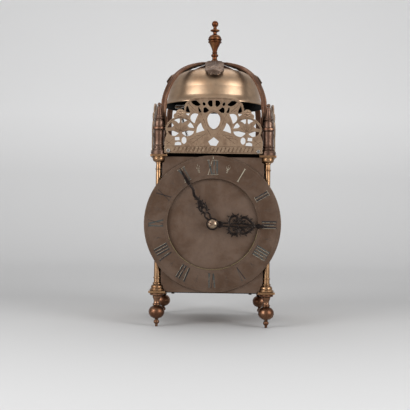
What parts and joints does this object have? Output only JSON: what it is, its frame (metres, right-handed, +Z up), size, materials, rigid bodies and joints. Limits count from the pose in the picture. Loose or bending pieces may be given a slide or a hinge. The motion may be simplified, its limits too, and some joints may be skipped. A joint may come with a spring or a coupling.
{
  "type": "lantern clock",
  "caption": "Posted-frame lantern clock with a pierced gallery, a strapped bell, a chapter ring with two hands, side doors and a geared movement.",
  "frame": {"origin": "on the floor, at the middle of the clock's bounding box", "axes": "+Z up, -Y out of the dial, +X to the right of someone reading the dial"},
  "size_m": [0.1696, 0.1724, 0.398],
  "materials": {
    "plate_brass": "aged satin",
    "pillar_brass": "warm polished",
    "foot_brass": "warm polished",
    "finial_brass": "reddish patina",
    "strap_brass": "satin patina",
    "bell_brass": "satin turned",
    "leaf_brass": "chased, aged",
    "crown_finial_brass": "aged polished",
    "fret_brass": "engraved, aged",
    "dial_brass": "dark matte patina",
    "ring_brass": "dark matte patina",
    "hand_steel": "blackened",
    "nut_brass": "worn",
    "screw_steel": "worn",
    "door_brass": "brushed sheet",
    "bar_iron": "forged",
    "wheel_brass": "stoned",
    "movement_steel": "polished",
    "bob_brass": "polished"
  },
  "bodies": {
    "frame": {"anchor_cock": "wheel_brass", "back_plate": "door_brass", "bar_wedges": "bar_iron", "bell": "bell_brass", "bell_nut": "screw_steel", "bell_strap": "strap_brass", "bottom_plate": "plate_brass", "central_finial": "crown_finial_brass", "centre_bar": "bar_iron", "chapter_ring": "ring_brass", "chapter_ring_feet": "ring_brass", "crown_leaves": "leaf_brass", "dial_plate": "dial_brass", "finial_front_left": "finial_brass", "finial_front_right": "finial_brass", "finial_rear_left": "finial_brass", "finial_rear_right": "finial_brass", "foot_front_left": "foot_brass", "foot_front_right": "foot_brass", "foot_rear_left": "foot_brass", "foot_rear_right": "foot_brass", "fret_posts": "plate_brass", "fret_screws": "screw_steel", "front_bar": "bar_iron", "front_fret": "fret_brass", "hammer_spring": "movement_steel", "left_fret": "fret_brass", "pillar_front_left": "pillar_brass", "pillar_front_right": "pillar_brass", "pillar_rear_left": "pillar_brass", "pillar_rear_right": "pillar_brass", "plate_screws": "hand_steel", "rear_bar": "bar_iron", "right_fret": "fret_brass", "top_plate": "plate_brass"},
    "minute": {"centre_wheel": "wheel_brass", "cannon_pinion": "movement_steel", "minute_hand": "hand_steel", "hand_nut": "nut_brass"},
    "hour": {"hour_wheel": "wheel_brass", "hour_hand": "hand_steel"},
    "motion": {"motion_wheel": "wheel_brass"},
    "great": {"great_wheel": "wheel_brass", "going_sprocket": "wheel_brass"},
    "third": {"third_wheel": "wheel_brass"},
    "escape": {"escape_wheel": "wheel_brass"},
    "pendulum": {"anchor": "movement_steel", "pendulum_rod": "movement_steel", "pendulum_bob": "bob_brass"},
    "strike_great": {"strike_great_wheel": "wheel_brass", "strike_sprocket": "wheel_brass"},
    "hoop": {"hoop_wheel": "wheel_brass"},
    "warning": {"warning_wheel": "wheel_brass"},
    "fly": {"fly": "movement_steel"},
    "count": {"count_wheel": "wheel_brass"},
    "hammer": {"hammer": "movement_steel"},
    "left_door": {"left_door": "door_brass", "left_door_knob": "nut_brass"},
    "right_door": {"right_door": "door_brass", "right_door_knob": "nut_brass"}
  },
  "joints": [
    {"name": "third_spin", "type": "hinge", "parent": "frame", "child": "third", "pos_m": [0, 0, 0.1577], "axis": [0, 1, 0], "continuous": true},
    {"name": "minute_spin", "type": "hinge", "parent": "frame", "child": "minute", "pos_m": [0, 0, 0.128], "axis": [0, 1, 0], "continuous": true},
    {"name": "hour_spin", "type": "hinge", "parent": "frame", "child": "hour", "pos_m": [0, 0, 0.128], "axis": [0, 1, 0], "continuous": true},
    {"name": "motion_spin", "type": "hinge", "parent": "frame", "child": "motion", "pos_m": [0, 0, 0.103], "axis": [0, 1, 0], "continuous": true},
    {"name": "great_spin", "type": "hinge", "parent": "frame", "child": "great", "pos_m": [0, 0, 0.086], "axis": [0, 1, 0], "continuous": true},
    {"name": "escape_spin", "type": "hinge", "parent": "frame", "child": "escape", "pos_m": [0, 0, 0.1811], "axis": [0, 1, 0], "continuous": true},
    {"name": "pendulum_swing", "type": "hinge", "parent": "frame", "child": "pendulum", "pos_m": [0, 0, 0.2], "axis": [0, 1, 0], "range_deg": [-4, 4]},
    {"name": "warning_spin", "type": "hinge", "parent": "frame", "child": "warning", "pos_m": [0, 0, 0.1577], "axis": [0, 1, 0], "continuous": true},
    {"name": "hoop_spin", "type": "hinge", "parent": "frame", "child": "hoop", "pos_m": [0, 0, 0.128], "axis": [0, 1, 0], "continuous": true},
    {"name": "strike_great_spin", "type": "hinge", "parent": "frame", "child": "strike_great", "pos_m": [0, 0, 0.086], "axis": [0, 1, 0], "continuous": true},
    {"name": "fly_spin", "type": "hinge", "parent": "frame", "child": "fly", "pos_m": [0, 0, 0.1811], "axis": [0, 1, 0], "continuous": true},
    {"name": "count_spin", "type": "hinge", "parent": "frame", "child": "count", "pos_m": [0, 0, 0.114], "axis": [0, 1, 0], "continuous": true},
    {"name": "hammer_lift", "type": "hinge", "parent": "frame", "child": "hammer", "pos_m": [-0.02, 0, 0.191], "axis": [0, 1, 0], "range_deg": [-1.5, 9], "stiffness_Nm_per_rad": 0.5, "springref_deg": 0.69},
    {"name": "left_door_swing", "type": "hinge", "parent": "frame", "child": "left_door", "pos_m": [-0.07075, 0.057, 0.128], "axis": [0, 0, -1], "range_deg": [0, 110]},
    {"name": "right_door_swing", "type": "hinge", "parent": "frame", "child": "right_door", "pos_m": [0.07075, 0.057, 0.128], "axis": [0, 0, 1], "range_deg": [0, 110]}
  ],
  "couplings": [
    {"joint": "minute_spin", "follows": "third_spin", "ratio": -0.1},
    {"joint": "hour_spin", "follows": "third_spin", "ratio": -0.0083333},
    {"joint": "motion_spin", "follows": "third_spin", "ratio": 0.025},
    {"joint": "great_spin", "follows": "third_spin", "ratio": 0.011111},
    {"joint": "escape_spin", "follows": "third_spin", "ratio": -12},
    {"joint": "hoop_spin", "follows": "warning_spin", "ratio": -0.1},
    {"joint": "strike_great_spin", "follows": "warning_spin", "ratio": 0.011111},
    {"joint": "fly_spin", "follows": "warning_spin", "ratio": -12},
    {"joint": "count_spin", "follows": "warning_spin", "ratio": -0.0018519}
  ]
}
